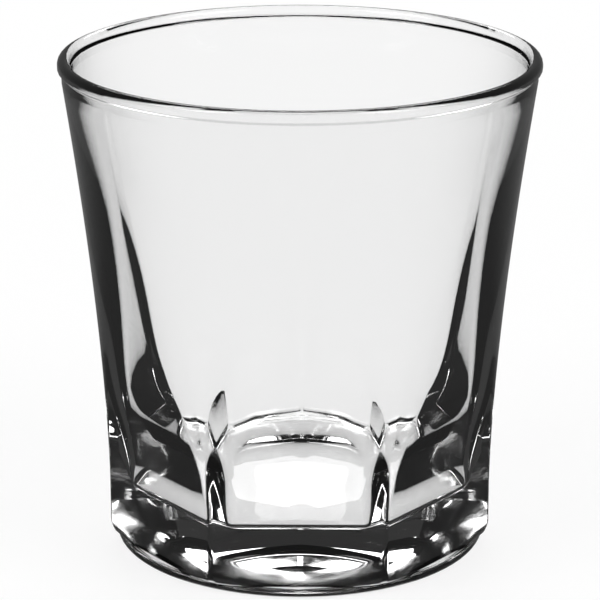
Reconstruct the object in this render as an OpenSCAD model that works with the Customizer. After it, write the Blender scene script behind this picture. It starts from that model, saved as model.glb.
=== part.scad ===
// Rocks glass: a pressed tumbler with flat side panels that fade out under a round rim.
// Millimetres. It stands on z = 0 round the Z axis, with the middle of one panel facing -Y.

/* [Glass] */
// Height of the whole glass
glass_h = 90; // [75:1:120]
// Outside diameter at the rim
rim_d = 86; // [80:1:110]
// Number of flat panels round the side
panel_count = 7; // [6:1:12]

/* [Base] */
// Outside diameter of the base, corner to corner of the panels
base_d = 71.2; // [60:0.2:76]
// Radius of the upright corners between panels, at the base
corner_r = 1.6; // [0.8:0.1:4]
// Height up to which the panels stand upright
base_h = 12; // [11:0.5:18]
// Diameter of the round foot that the glass stands on
foot_d = 68; // [56:0.2:70]
// Height of the round foot below the panels
foot_h = 1.4; // [0.8:0.1:3]
// Rounding of the foot's outer edge
foot_edge_r = 0.7; // [0.3:0.1:0.8]
// Height over which the panel corners draw in to the foot
heel_h = 3.2; // [1:0.1:5]
// Width of the foot's ledge outside the drawn-in corners
foot_ledge = 0.2; // [0.1:0.1:0.8]
// Diameter of the shallow hollow under the base
punt_d = 37; // [30:1:52]
// Depth of the hollow under the base
punt_depth = 1.5; // [0.5:0.1:2.5]

/* [Inside] */
// Height of the cup's floor, which is the thickness of the base
floor_h = 9.5; // [6:0.5:10]
// Width of the rounding between the floor and the wall
floor_curve_w = 7; // [2:0.5:10]
// Wall thickness at the middle of a panel, where the wall meets the base
wall_low_t = 6.5; // [4:0.1:8]
// Wall thickness at the middle of a panel, under the rim
wall_top_t = 1.8; // [1.5:0.1:4]
// Height above the base over which the thick wall thins out
thick_h = 12.5; // [8:0.5:30]
// Thickness of the rim
rim_t = 2.3; // [1.8:0.1:4]
// Radius of the cup's upright inside corners, where the wall meets the base
inside_corner_r = 2; // [1:0.5:12]

/* [Curves] */
// Height of the round band below the top edge
rim_band_h = 4; // [3:0.5:8]
// How far the rim's bead stands out from the wall below it
bead = 0.7; // [0.3:0.1:1]
// How late the side flares out: 1 is a straight cone, and more stays upright for longer
flare_power = 1.6; // [1:0.1:3]
// How late the outside corners round off on the way up: more keeps them sharp for longer
fade_power = 1.2; // [0.6:0.1:3]
// How soon the inside corners round off above the base
inside_fade_power = 2; // [1:0.5:8]

/* [Hidden] */

glass_colour = [0.88, 0.92, 0.92, 0.45];
arc_steps = 8;
wall_rings = 20;
bowl_rings = 8;
round_steps = 96;
// Share of full roundness at the top of the wall, short of 1 so that every panel keeps some width
top_roundness = 0.95;
// Overlap of a cutting shape past the face that it cuts
past = 1;

panel_angle = 360 / panel_count;
corner_stretch = 1 / cos(panel_angle / 2);
wall_top_z = glass_h - rim_band_h;
base_corner = base_d / 2;
rim_corner = rim_d / 2 - bead;
base_panel = (base_corner - corner_r) / corner_stretch + corner_r;
base_roundness = corner_r / base_panel;
low_panel_inside = base_panel - wall_low_t;
low_roundness = inside_corner_r / low_panel_inside;
bead_r = rim_t / 2;
foot_r = foot_d / 2;
heel_r = foot_r - foot_ledge;
heel_lean = (base_corner - heel_r) / heel_h;
punt_sphere_r = (pow(punt_d / 2, 2) + pow(punt_depth, 2)) / (2 * punt_depth);

// Share of the wall's height that lies below z
function rise(z) = (z - base_h) / (wall_top_z - base_h);

// Value that runs from low to high up the wall, later for a larger power
function climb(low, high, power, z) = low + (high - low) * pow(rise(z), power);

// Value that runs from low to high up the wall, sooner for a larger power
function settle(low, high, power, z) = high + (low - high) * pow(1 - rise(z), power);

// Share that starts and ends gently
function ease(share) = share * share * (3 - 2 * share);

// Distance from the axis to a panel, for a section with this corner distance and roundness
function panel_of(corner, roundness) =
    corner / (roundness + (1 - roundness) * corner_stretch);

// Outside of the wall at height z
function outside_roundness(z) =
    base_roundness + (top_roundness - base_roundness) * ease(pow(rise(z), fade_power));
function outside_panel(z) =
    panel_of(climb(base_corner, rim_corner, flare_power, z), outside_roundness(z));

// Inside of the wall at height z
function inside_roundness(z) = settle(low_roundness, top_roundness, inside_fade_power, z);
function wall_t(z) =
    wall_top_t + (wall_low_t - wall_top_t) * exp(-pow((z - base_h) / thick_h, 2));
function inside_panel(z) = outside_panel(z) - wall_t(z);

// Points of a many-sided ring with rounded corners, at height z
function ring(panel, roundness, z) =
    let (r = panel * roundness, centre = (panel - r) * corner_stretch)
    [for (p = [0 : panel_count - 1], k = [0 : arc_steps])
        let (corner_at = (p + 0.5) * panel_angle - 90,
             turn = corner_at + (k / arc_steps - 0.5) * panel_angle)
        [centre * cos(corner_at) + r * cos(turn), centre * sin(corner_at) + r * sin(turn), z]];

// Triangles between each ring of points and the next, round a closed ring of columns
function skin(rings, columns, closed) =
    [for (i = [0 : rings - (closed ? 1 : 2)], k = [0 : columns - 1])
        let (low = i * columns, high = (i + 1) % rings * columns, next = (k + 1) % columns)
        each [[low + k, high + k, high + next], [low + k, high + next, low + next]]];

columns = panel_count * (arc_steps + 1);

// Solid through rings of points, closed with a flat face at each end
module loft(rings) {
    count = len(rings);
    first = [for (k = [0 : columns - 1]) k];
    last = [for (k = [columns - 1 : -1 : 0]) (count - 1) * columns + k];
    polyhedron([for (r = rings) each r], concat(skin(count, columns, false), [first, last]));
}

// Outline of the base: straight panels with rounded corners
module base_outline() {
    polygon([for (point = ring(base_panel, base_roundness, 0)) [point[0], point[1]]]);
}

// Cup's floor and the rounding up to the wall, run past the top of the base
module bowl() {
    curve_h = base_h - floor_h;
    loft([for (i = [0 : bowl_rings])
        let (turn = 90 * i / bowl_rings,
             panel = low_panel_inside - floor_curve_w * (1 - sin(turn)),
             z = base_h - curve_h * cos(turn) + (i == bowl_rings ? past : 0))
        ring(panel, low_roundness, z)]);
}

// Heavy bottom with its round foot, its hollow underside and the cup's floor
module base() {
    color(glass_colour)
        difference() {
            union() {
                intersection() {
                    translate([0, 0, foot_h / 2])
                        linear_extrude(base_h - foot_h / 2)
                            base_outline();
                    rotate_extrude($fn = round_steps)
                        polygon([[0, 0], [heel_r - foot_h * heel_lean, 0],
                                 [heel_r + (heel_h + past) * heel_lean, foot_h + heel_h + past],
                                 [base_corner + past, base_h + past], [0, base_h + past]]);
                }
                rotate_extrude($fn = round_steps) {
                    square([foot_r - foot_edge_r, foot_h]);
                    translate([0, foot_edge_r])
                        square([foot_r, foot_h - foot_edge_r]);
                    translate([foot_r - foot_edge_r, foot_edge_r])
                        circle(foot_edge_r, $fn = round_steps);
                }
            }
            bowl();
            translate([0, 0, punt_depth - punt_sphere_r])
                sphere(punt_sphere_r, $fn = round_steps);
        }
}

// Panelled side, from the base up to the round rim
module wall() {
    heights = [for (i = [0 : wall_rings]) base_h + (wall_top_z - base_h) * i / wall_rings];
    outside = [for (z = heights) ring(outside_panel(z), outside_roundness(z), z)];
    inside = [for (i = [wall_rings : -1 : 0])
        let (z = heights[i])
        ring(inside_panel(z), inside_roundness(z), z)];
    rings = concat(outside, inside);
    color(glass_colour)
        polyhedron([for (r = rings) each r], skin(len(rings), columns, true));
}

// Round lip with a fire-polished bead
module rim() {
    bead_at = rim_d / 2 - bead_r;
    bead_z = glass_h - bead_r;
    outside_r = outside_panel(wall_top_z);
    inside_r = inside_panel(wall_top_z);
    color(glass_colour)
        rotate_extrude($fn = round_steps) {
            polygon([[inside_r, wall_top_z], [outside_r, wall_top_z],
                     [bead_at + bead_r, bead_z], [bead_at - bead_r, bead_z]]);
            translate([bead_at, bead_z])
                circle(bead_r, $fn = round_steps);
        }
}

base();
wall();
rim();
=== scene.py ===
"""Rocks glass: a pressed tumbler whose flat side panels fade out under a round rim."""

import math

import bmesh
import bpy
from bpy.props import FloatProperty, FloatVectorProperty, IntProperty, PointerProperty
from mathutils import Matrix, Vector


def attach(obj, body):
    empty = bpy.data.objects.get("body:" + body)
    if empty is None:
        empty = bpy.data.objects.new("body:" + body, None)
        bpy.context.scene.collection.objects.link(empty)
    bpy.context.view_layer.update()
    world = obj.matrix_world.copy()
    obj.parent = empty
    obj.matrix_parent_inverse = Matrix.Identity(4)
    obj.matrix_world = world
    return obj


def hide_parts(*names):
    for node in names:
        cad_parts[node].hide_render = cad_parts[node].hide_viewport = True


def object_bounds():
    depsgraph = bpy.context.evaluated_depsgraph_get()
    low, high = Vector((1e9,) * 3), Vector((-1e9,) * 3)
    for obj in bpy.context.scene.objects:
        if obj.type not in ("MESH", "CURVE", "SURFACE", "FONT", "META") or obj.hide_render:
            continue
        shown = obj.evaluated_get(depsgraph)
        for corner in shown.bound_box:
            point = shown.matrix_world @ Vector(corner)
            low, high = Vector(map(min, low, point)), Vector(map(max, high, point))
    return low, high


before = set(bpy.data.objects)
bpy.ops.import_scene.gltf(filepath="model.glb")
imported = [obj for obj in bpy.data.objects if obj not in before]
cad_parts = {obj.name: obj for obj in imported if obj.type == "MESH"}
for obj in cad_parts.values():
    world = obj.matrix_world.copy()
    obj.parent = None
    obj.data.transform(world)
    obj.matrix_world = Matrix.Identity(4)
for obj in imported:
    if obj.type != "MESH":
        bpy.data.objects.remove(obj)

CAD_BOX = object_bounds()
GLASS_HEIGHT = CAD_BOX[1].z - CAD_BOX[0].z
RIM_DIAMETER = CAD_BOX[1].x - CAD_BOX[0].x

SENSOR_WIDTH_MM = 36.0
# Faces that meet at more than this angle keep a crisp edge
CRISP_EDGE = math.radians(35.0)
# Points closer than this, in metres, are one point
SAME_POINT = 0.000001
# Finer layers of the noise that the mould's ripple is made of
RIPPLE_DETAIL = 1.0

bl_info = {
    "name": "Rocks glass",
    "version": (1, 0, 0),
    "blender": (4, 5, 0),
    "location": "View3D > Sidebar > Glass",
    "description": "Builds a panelled rocks glass, its clear glass and the stage it stands on",
    "category": "Add Mesh",
}


def length(name, description, default):
    """A size property in metres."""
    return FloatProperty(
        name=name, description=description, default=default, min=0.0, unit="LENGTH", precision=5)


def share(name, description, default):
    """A property that runs from nothing to all."""
    return FloatProperty(
        name=name, description=description, default=default, min=0.0, max=1.0, subtype="FACTOR")


def power(name, description, default):
    """A property that shapes a curve up the glass."""
    return FloatProperty(name=name, description=description, default=default, min=0.1, max=10.0)


class GlassSizes(bpy.types.PropertyGroup):
    """Sizes of the glass."""

    height: length("Height", "Height of the whole glass", GLASS_HEIGHT)
    rim_diameter: length("Rim diameter", "Outside diameter at the rim", RIM_DIAMETER)
    panel_count: IntProperty(
        name="Panels", description="Flat panels round the side", default=7, min=6, max=12)
    base_diameter: length("Base diameter", "Outside of the base, corner to corner", 0.0712)
    corner_radius: length("Corner radius", "Rounding of the upright corners at the base", 0.0016)
    base_height: length("Base height", "Height up to which the panels stand upright", 0.012)
    foot_diameter: length("Foot diameter", "Round foot that the glass stands on", 0.068)
    foot_edge: length("Foot edge", "Rounding of the foot's outer edge", 0.0007)
    heel_height: length("Heel height", "Height over which the corners draw in to the foot", 0.0032)
    punt_diameter: length("Punt diameter", "Shallow hollow under the base", 0.037)
    punt_depth: length("Punt depth", "Depth of the hollow under the base", 0.0015)
    floor_height: length("Floor height", "Height of the cup's floor", 0.0095)
    floor_curve: length("Floor curve", "Width of the rounding between floor and wall", 0.007)
    wall_low: length("Low wall", "Wall thickness where the wall meets the base", 0.0065)
    wall_top: length("Top wall", "Wall thickness under the rim", 0.0018)
    thick_height: length("Thick height", "Height over which the thick wall thins out", 0.0125)
    rim_thickness: length("Rim thickness", "Thickness of the rim", 0.0023)
    inside_corner: length("Inside corner", "Rounding of the cup's corners at the base", 0.002)
    rim_band: length("Rim band", "Height of the round band below the top edge", 0.004)
    bead: length("Bead", "How far the bead stands out from the wall", 0.0007)
    neck_depth: length("Neck depth", "Depth below the top edge at which the bead starts", 0.0026)
    neck_height: length("Neck height", "Height over which the bead swells out", 0.0009)
    flare_power: power("Flare", "How late the side flares out", 1.6)
    fade_power: power("Fade", "How late the outside corners round off", 1.2)
    inside_fade_power: power("Inside fade", "How soon the inside corners round off", 2.0)
    top_roundness: share("Top roundness", "Share of full roundness at the top of the wall", 0.95)


class GlassLooks(bpy.types.PropertyGroup):
    """Finish of the glass."""

    tint: FloatVectorProperty(
        name="Tint", description="Colour of the clear glass", subtype="COLOR",
        default=(1.0, 1.0, 1.0), min=0.0, max=1.0)
    refraction: FloatProperty(
        name="Refraction", description="Index of refraction", default=1.52, min=1.0, max=2.0)
    ripple_depth: length("Ripple depth", "Depth of the mould's faint ripple", 0.00002)
    ripple_scale: FloatProperty(
        name="Ripple scale", description="Ripples in a metre of glass", default=45.0, min=0.0)
    scuff: share("Scuff", "Roughness of the foot where it stands", 0.2)
    scuff_height: length("Scuff height", "Height up to which the foot is scuffed", 0.0006)
    scuff_scale: FloatProperty(
        name="Scuff scale", description="Scuffs in a metre of glass", default=600.0, min=0.0)


class StageLooks(bpy.types.PropertyGroup):
    """Floor, lamps, surroundings and camera."""

    floor_size: length("Floor size", "Width of the floor", 6.0)
    floor_gap: length("Floor gap", "Gap between the foot and the floor", 0.0002)
    floor_grey: share("Floor grey", "Lightness of the floor's paint", 0.9)
    floor_shade: share("Floor shade", "Share of the floor's look that the lamps and shadow give", 0.2)
    room_light: share("Room light", "Light from all round onto the floor", 0.5)
    # Painted shade: what the glass reflects, inside it or off it, is shown dimmer by these shares for
    # each reflection, which darkens the glass's edges and base
    painted_inside_reflection_level: share("Inside light", "Light left after each reflection inside the glass", 0.03)
    painted_outside_reflection_level: share("Outside light", "Light left after each reflection off the glass", 0.2)
    lamp_count: IntProperty(
        name="Lamps", description="Soft lamps round the glass", default=3, min=1, max=8)
    lamp_power: FloatProperty(
        name="Lamp power", description="Power of each lamp", default=4.5, unit="POWER")
    lamp_size: length("Lamp size", "Width of each soft lamp", 0.6)
    lamp_distance: length("Lamp distance", "Level distance from the glass to each lamp", 0.8)
    lamp_height: length("Lamp height", "Height of each lamp above the foot", 0.8)
    camera_distance: length("Camera distance", "Level distance from the axis to the camera", 0.470)
    camera_height: length("Camera height", "Height of the camera above the foot", 0.19695)
    camera_pitch: FloatProperty(
        name="Camera pitch", description="How far the camera looks down", subtype="ANGLE",
        default=math.radians(18.02))
    camera_turn: FloatProperty(
        name="Camera turn", description="How far the camera stands round to the right", subtype="ANGLE",
        default=math.radians(0.7))
    camera_lens: FloatProperty(
        name="Lens", description="Focal length in millimetres", default=162.5, unit="CAMERA")


def ease(share_of_way):
    """Share of the way, from nothing to all, that starts and ends gently."""
    u = min(max(share_of_way, 0.0), 1.0)
    return u * u * (3 - 2 * u)


class Profile:
    """Rings of the glass, from under the base up the outside, over the rim and down into the cup."""

    # Points on each rounded corner and on each flat panel of a ring
    ARC_STEPS = 12
    FLAT_STEPS = 6
    # Rings on each stretch of the shape, in the order that they follow each other
    PUNT_RINGS = 8
    EDGE_RINGS = 6
    HEEL_RINGS = 8
    WALL_RINGS = 40
    NECK_RINGS = 24
    BEAD_RINGS = 10
    BAND_RINGS = 6
    CURVE_RINGS = 12
    FLOOR_RINGS = 8

    def __init__(self, sizes):
        self.s = sizes
        self.turn = 2 * math.pi / sizes.panel_count
        self.stretch = 1 / math.cos(self.turn / 2)
        self.wall_top_z = sizes.height - sizes.rim_band
        self.bead_radius = sizes.rim_thickness / 2
        self.bead_z = sizes.height - self.bead_radius
        self.base_corner = sizes.base_diameter / 2
        self.rim_corner = sizes.rim_diameter / 2 - sizes.bead
        radius = sizes.corner_radius
        self.base_panel = (self.base_corner - radius) / self.stretch + radius
        self.base_roundness = radius / self.base_panel
        self.low_inside = self.base_panel - sizes.wall_low
        self.low_roundness = sizes.inside_corner / self.low_inside

    def rise(self, z):
        """Share of the wall's height that lies below a height."""
        return min(max((z - self.s.base_height) / (self.wall_top_z - self.s.base_height), 0.0), 1.0)

    def climb(self, low, high, exponent, z):
        """Value that runs from low to high up the wall, late."""
        return low + (high - low) * self.rise(z) ** exponent

    def settle(self, low, high, exponent, z):
        """Value that runs from low to high up the wall, early."""
        return high + (low - high) * (1 - self.rise(z)) ** exponent

    def outside(self, z):
        """Panel distance and roundness of the outside at a height."""
        s = self.s
        faded = ease(self.rise(z) ** s.fade_power)
        roundness = self.base_roundness + (s.top_roundness - self.base_roundness) * faded
        corner = self.climb(self.base_corner, self.rim_corner, s.flare_power, z)
        return corner / (roundness + (1 - roundness) * self.stretch), roundness

    def inside(self, z):
        """Panel distance and roundness of the cup at a height."""
        s = self.s
        roundness = self.settle(self.low_roundness, s.top_roundness, s.inside_fade_power, z)
        up = (z - s.base_height) / s.thick_height
        wall = s.wall_top + (s.wall_low - s.wall_top) * math.exp(-up * up)
        return self.outside(z)[0] - wall, roundness

    def rings(self):
        """Every ring in order, as panel distance, roundness, height and, at the heel, reach."""
        return self.underside() + self.side() + self.lip() + self.cup()

    def underside(self):
        """The hollow under the base and the half-round edge of the foot."""
        s = self.s
        rings = []
        for i in range(1, self.PUNT_RINGS + 1):
            u = i / self.PUNT_RINGS
            rings.append((s.punt_diameter / 2 * u, 1.0, s.punt_depth * (1 - u * u)))
        edge = s.foot_diameter / 2 - s.foot_edge
        for i in range(2 * self.EDGE_RINGS + 1):
            a = math.pi / 2 * (i / self.EDGE_RINGS - 1)
            z = s.foot_edge * (1 + math.sin(a))
            rings.append((edge + s.foot_edge * math.cos(a), 1.0, z))
        return rings

    def side(self):
        """The corners that draw in to the foot, and the panelled side up to the rim band."""
        s = self.s
        rings = []
        # The foot's edge is half round, so it is twice its rounding tall
        ledge = 2 * s.foot_edge
        foot = s.foot_diameter / 2
        for i in range(self.HEEL_RINGS + 1):
            a = math.pi / 2 * i / self.HEEL_RINGS
            reach = foot + (self.base_corner - foot) * math.sin(a)
            z = ledge + s.heel_height * (1 - math.cos(a))
            rings.append((self.base_panel, self.base_roundness, z, reach))
        low = ledge + s.heel_height
        for i in range(1, self.WALL_RINGS + 1):
            z = low + (self.wall_top_z - low) * i / self.WALL_RINGS
            rings.append((*self.outside(z), z))
        return rings

    def lip(self):
        """The neck that swells out to the bead, and the bead over the top edge."""
        s = self.s
        bead_at = s.rim_diameter / 2 - self.bead_radius
        start, roundness = self.outside(self.wall_top_z)
        rings = []
        for i in range(1, self.NECK_RINGS):
            u = i / self.NECK_RINGS
            z = self.wall_top_z + (self.bead_z - self.wall_top_z) * u
            swell = ease((z - s.height + s.neck_depth) / s.neck_height)
            radius = start + (s.rim_diameter / 2 - start) * swell
            rings.append((radius, roundness + (1 - roundness) * max(u, swell), z))
        for i in range(self.BEAD_RINGS + 1):
            a = math.pi * i / self.BEAD_RINGS
            z = self.bead_z + self.bead_radius * math.sin(a)
            rings.append((bead_at + self.bead_radius * math.cos(a), 1.0, z))
        return rings

    def cup(self):
        """The inside, from the bead down the wall and round the curve at its foot to the floor."""
        s = self.s
        top = s.rim_diameter / 2 - s.rim_thickness
        end, roundness = self.inside(self.wall_top_z)
        rings = []
        for i in range(1, self.BAND_RINGS):
            u = i / self.BAND_RINGS
            z = self.bead_z + (self.wall_top_z - self.bead_z) * u
            rings.append((top + (end - top) * u, 1 + (roundness - 1) * u, z))
        for i in range(self.WALL_RINGS + 1):
            z = self.wall_top_z + (s.base_height - self.wall_top_z) * i / self.WALL_RINGS
            rings.append((*self.inside(z), z))
        depth = s.base_height - s.floor_height
        for i in range(1, self.CURVE_RINGS + 1):
            a = math.pi / 2 * i / self.CURVE_RINGS
            panel = self.low_inside - s.floor_curve * (1 - math.cos(a))
            rings.append((panel, self.low_roundness, s.base_height - depth * math.sin(a)))
        floor_panel = rings[-1][0]
        for i in range(1, self.FLOOR_RINGS):
            panel = floor_panel * (1 - i / self.FLOOR_RINGS)
            rings.append((panel, self.low_roundness, s.floor_height))
        return rings

    def points(self, panel, roundness, z, reach=None):
        """Points of one ring: straight panels with rounded corners, the first panel facing -Y.
        Where reach is given, no point lies further from the axis than that."""
        radius = panel * roundness
        half = (panel - radius) * math.tan(self.turn / 2)
        centre = (panel - radius) * self.stretch
        lift = Vector((0.0, 0.0, z))
        found = []
        for p in range(self.s.panel_count):
            facing = p * self.turn - math.pi / 2
            out = Vector((math.cos(facing), math.sin(facing), 0.0))
            along = Vector((-out.y, out.x, 0.0))
            for i in range(self.FLAT_STEPS):
                way = 2 * i / self.FLAT_STEPS - 1
                found.append(out * panel + along * half * way + lift)
            corner_at = facing + self.turn / 2
            middle = Vector((math.cos(corner_at) * centre, math.sin(corner_at) * centre, z))
            for i in range(self.ARC_STEPS):
                a = facing + self.turn * i / self.ARC_STEPS
                found.append(middle + Vector((math.cos(a), math.sin(a), 0.0)) * radius)
        for point in found:
            if reach and point.xy.length > reach:
                point.xy = point.xy * (reach / point.xy.length)
        return found


class Value:
    """A number in a node tree: arithmetic on it adds Math nodes."""

    def __init__(self, shader, output):
        self.shader = shader
        self.output = output

    def _math(self, operation, first, second):
        return self.shader.add("ShaderNodeMath", {"operation": operation}, {0: first, 1: second})

    def __add__(self, other):
        return self._math("ADD", self, other)

    def __sub__(self, other):
        return self._math("SUBTRACT", self, other)

    def __rsub__(self, other):
        return self._math("SUBTRACT", other, self)

    def __mul__(self, other):
        return self._math("MULTIPLY", self, other)

    def __rpow__(self, other):
        return self._math("POWER", other, self)

    def at_least(self, other):
        """The larger of two numbers."""
        return self._math("MAXIMUM", self, other)

    def at_most(self, other):
        """The smaller of two numbers."""
        return self._math("MINIMUM", self, other)

    __radd__ = __add__
    __rmul__ = __mul__


class Shader:
    """A node tree that is filled one node at a time."""

    def __init__(self, owner):
        owner.use_nodes = True
        self.tree = owner.node_tree
        self.tree.nodes.clear()

    def add(self, kind, settings=None, sockets=None, output=0):
        """Adds a node, sets it up, fills its sockets with numbers or links, and gives an output."""
        node = self.tree.nodes.new(kind)
        for name, value in (settings or {}).items():
            setattr(node, name, value)
        for name, value in (sockets or {}).items():
            if isinstance(value, Value):
                self.tree.links.new(value.output, node.inputs[name])
            else:
                node.inputs[name].default_value = value
        found = node.outputs[output] if node.outputs else None
        return Value(self, found)


def clear_glass(looks):
    """Clear pressed glass with a faint ripple left by the mould, and a foot scuffed by standing."""
    material = bpy.data.materials.new("clear_glass")
    shader = Shader(material)
    place = shader.add("ShaderNodeTexCoord", output="Object")
    ripple = shader.add("ShaderNodeTexNoise", {}, {
        "Vector": place, "Scale": looks.ripple_scale, "Detail": RIPPLE_DETAIL})
    bump = shader.add("ShaderNodeBump", {}, {"Height": ripple, "Distance": looks.ripple_depth})
    scuffs = shader.add("ShaderNodeTexNoise", {}, {"Vector": place, "Scale": looks.scuff_scale})
    height = shader.add("ShaderNodeSeparateXYZ", {}, {0: place}, output="Z")
    worn = shader.add("ShaderNodeMapRange", {}, {
        "Value": height, "From Min": 0.0, "From Max": looks.scuff_height,
        "To Min": looks.scuff, "To Max": 0.0})
    surface = shader.add("ShaderNodeBsdfPrincipled", {}, {
        "Base Color": (*looks.tint, 1.0),
        "Roughness": worn * scuffs,
        "IOR": looks.refraction,
        "Transmission Weight": 1.0,
        "Normal": bump,
    })
    shader.add("ShaderNodeOutputMaterial", {}, {"Surface": surface})
    return material


def deselect_all():
    """Leaves nothing selected and no object in edit mode."""
    if bpy.context.object and bpy.context.object.mode != "OBJECT":
        bpy.ops.object.mode_set(mode="OBJECT")
    bpy.ops.object.select_all(action="DESELECT")


def place_ring(glass, points):
    """Moves the ring that is selected to these points."""
    mesh = bmesh.from_edit_mesh(glass.data)
    column = mesh.verts.layers.int["column"]
    for v in mesh.verts:
        if v.select:
            v.co = points[v[column]]


def close_start(glass, height):
    """Closes the ring that the glass was started from, on a point at this height."""
    bpy.ops.mesh.select_all(action="DESELECT")
    bpy.ops.mesh.select_mode(type="VERT")
    bpy.ops.mesh.select_non_manifold()
    bpy.ops.mesh.extrude_region_move()
    bpy.ops.mesh.merge(type="COLLAPSE")
    mesh = bmesh.from_edit_mesh(glass.data)
    for v in mesh.verts:
        if v.select:
            v.co = (0.0, 0.0, height)


class GLASS_OT_add_glass(bpy.types.Operator):
    """Builds the glass ring by ring and gives it its clear finish"""

    bl_idname = "glass.add_glass"
    bl_label = "Add the glass"
    bl_options = {"REGISTER", "UNDO"}

    def execute(self, context):
        scene = context.scene
        profile = Profile(scene.glass_sizes)
        rings = profile.rings()
        first = profile.points(*rings[0])
        deselect_all()
        bpy.ops.mesh.primitive_circle_add(vertices=len(first), radius=rings[0][0], fill_type="NOTHING")
        glass = context.object
        glass.name = "rocks_glass"
        glass.data.name = "rocks_glass"
        bpy.ops.object.mode_set(mode="EDIT")
        mesh = bmesh.from_edit_mesh(glass.data)
        column = mesh.verts.layers.int.new("column")
        for i, v in enumerate(mesh.verts):
            v[column] = i
            v.co = first[i]
        for ring in rings[1:]:
            bpy.ops.mesh.extrude_region_move()
            place_ring(glass, profile.points(*ring))
        bpy.ops.mesh.extrude_region_move()
        bpy.ops.mesh.merge(type="COLLAPSE")
        close_start(glass, scene.glass_sizes.punt_depth)
        bpy.ops.mesh.select_all(action="SELECT")
        bpy.ops.mesh.remove_doubles(threshold=SAME_POINT)
        bpy.ops.mesh.normals_make_consistent(inside=False)
        bpy.ops.object.mode_set(mode="OBJECT")
        glass.data.attributes.remove(glass.data.attributes["column"])
        bpy.ops.object.shade_smooth_by_angle(angle=CRISP_EDGE)
        glass.data.materials.append(clear_glass(scene.glass_looks))
        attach(glass, "root")
        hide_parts("base", "wall", "rim")
        return {"FINISHED"}


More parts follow.
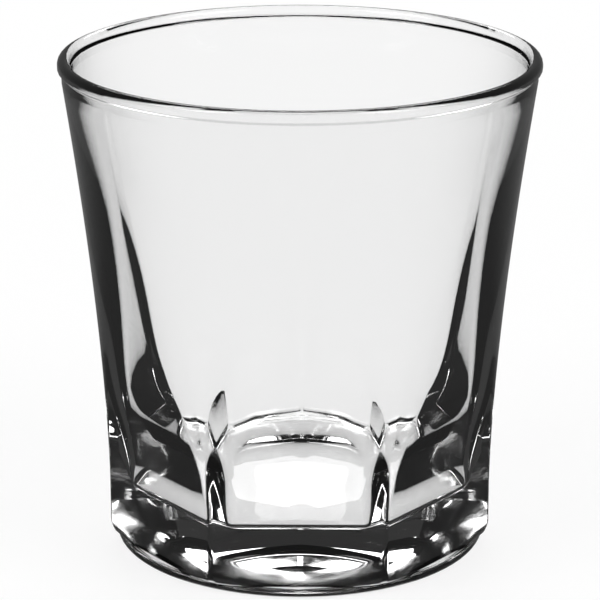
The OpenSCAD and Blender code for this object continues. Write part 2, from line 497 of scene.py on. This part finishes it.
class GLASS_OT_add_stage(bpy.types.Operator):
    """Sets the pale floor, the soft lamps, the surroundings and the camera"""

    bl_idname = "glass.add_stage"
    bl_label = "Add the stage"
    bl_options = {"REGISTER", "UNDO"}

    def execute(self, context):
        looks = context.scene.glass_stage
        self.add_floor(looks)
        self.add_surroundings(context.scene, looks)
        self.add_lamps(looks)
        self.add_camera(context.scene, looks)
        context.scene.view_settings.view_transform = "Standard"
        return {"FINISHED"}

    def add_floor(self, looks):
        """Pale floor that shows white to the eye and keeps the shadow of the glass, with painted shade
        where the glass reflects it.
        """
        deselect_all()
        bpy.ops.mesh.primitive_plane_add(size=looks.floor_size, location=(0.0, 0.0, -looks.floor_gap))
        floor = bpy.context.object
        floor.name = "floor"
        material = bpy.data.materials.new("pale_floor")
        shader = Shader(material)
        # Painted shade: the floor's paint and glow are darker where it is seen by reflection in the
        # glass
        shown = self.painted_reflection_shade(shader, looks)
        paint = shader.add("ShaderNodeBsdfDiffuse", {}, {"Color": shown * looks.floor_grey})
        glow = shader.add("ShaderNodeEmission", {}, {"Strength": shown})
        glowing = self.is_seen(shader) * (1 - looks.floor_shade)
        surface = shader.add("ShaderNodeMixShader", {}, {0: glowing, 1: paint, 2: glow})
        shader.add("ShaderNodeOutputMaterial", {}, {"Surface": surface})
        floor.data.materials.append(material)

    def is_seen(self, shader):
        """1 for what is looked at, straight or in the glass, and 0 for light that falls on the floor."""
        seen = shader.add("ShaderNodeLightPath", output="Is Camera Ray")
        seen = seen.at_least(shader.add("ShaderNodeLightPath", output="Is Glossy Ray"))
        return seen.at_least(shader.add("ShaderNodeLightPath", output="Is Transmission Ray"))

    def painted_reflection_shade(self, shader, looks):
        """White to the eye, and painted darker for each reflection in the glass or off it: painted shade
        that darkens the glass's edges and base.
        """
        reflections = shader.add("ShaderNodeLightPath", output="Glossy Depth")
        inside = reflections.at_most(shader.add("ShaderNodeLightPath", output="Transmission Depth"))
        # Painted shade: a share of the white is taken off for each reflection in or off the glass
        return (looks.painted_inside_reflection_level ** inside) * (looks.painted_outside_reflection_level ** (reflections - inside))

    def add_surroundings(self, scene, looks):
        """Even white all round to the eye, painted darker where the glass reflects it, and plain room
        light for the floor.
        """
        world = bpy.data.worlds.new("studio")
        scene.world = world
        shader = Shader(world)
        seen = self.is_seen(shader)
        # Painted shade: what is looked at is white, dimmed for each reflection in or off the glass
        strength = seen * self.painted_reflection_shade(shader, looks) + (1 - seen) * looks.room_light
        light = shader.add("ShaderNodeBackground", {}, {"Strength": strength})
        shader.add("ShaderNodeOutputWorld", {}, {"Surface": light})

    def add_lamps(self, looks):
        """Soft lamps spread evenly round the glass, the last one straight behind it."""
        for i in range(looks.lamp_count):
            deselect_all()
            turn = math.pi / 2 + 2 * math.pi * (i + 1) / looks.lamp_count
            place = Vector((math.cos(turn), math.sin(turn), 0.0)) * looks.lamp_distance
            place.z = looks.lamp_height
            facing = place.to_track_quat("Z", "Y").to_euler()
            bpy.ops.object.light_add(type="AREA", location=place, rotation=facing)
            lamp = bpy.context.object
            lamp.name = f"soft_lamp_{i + 1}"
            lamp.data.size = looks.lamp_size
            lamp.data.energy = looks.lamp_power
            lamp.visible_camera = False

    def add_camera(self, scene, looks):
        """Camera at the photo's viewing angle."""
        deselect_all()
        turn = looks.camera_turn
        across = math.sin(turn) * looks.camera_distance
        back = -math.cos(turn) * looks.camera_distance
        tilt = math.pi / 2 - looks.camera_pitch
        bpy.ops.object.camera_add(
            location=(across, back, looks.camera_height), rotation=(tilt, 0.0, turn))
        camera = bpy.context.object
        camera.name = "photo_camera"
        camera.data.sensor_width = SENSOR_WIDTH_MM
        camera.data.lens = looks.camera_lens
        scene.camera = camera


class GLASS_PT_sidebar(bpy.types.Panel):
    """Sizes, looks and build buttons in the sidebar"""

    bl_label = "Rocks glass"
    bl_idname = "GLASS_PT_sidebar"
    bl_space_type = "VIEW_3D"
    bl_region_type = "UI"
    bl_category = "Glass"

    def draw(self, context):
        for group in (context.scene.glass_sizes, context.scene.glass_looks, context.scene.glass_stage):
            box = self.layout.box()
            for name in group.__annotations__:
                box.prop(group, name)
        for operator in OPERATORS:
            self.layout.operator(operator.bl_idname)


OPERATORS = (GLASS_OT_add_stage, GLASS_OT_add_glass)
CLASSES = (GlassSizes, GlassLooks, StageLooks, *OPERATORS, GLASS_PT_sidebar)


def register():
    for cls in CLASSES:
        bpy.utils.register_class(cls)
    bpy.types.Scene.glass_sizes = PointerProperty(type=GlassSizes)
    bpy.types.Scene.glass_looks = PointerProperty(type=GlassLooks)
    bpy.types.Scene.glass_stage = PointerProperty(type=StageLooks)


def unregister():
    del bpy.types.Scene.glass_stage
    del bpy.types.Scene.glass_looks
    del bpy.types.Scene.glass_sizes
    for cls in reversed(CLASSES):
        bpy.utils.unregister_class(cls)


def main():
    register()
    bpy.ops.glass.add_stage()
    bpy.ops.glass.add_glass()


if __name__ == "__main__":
    main()
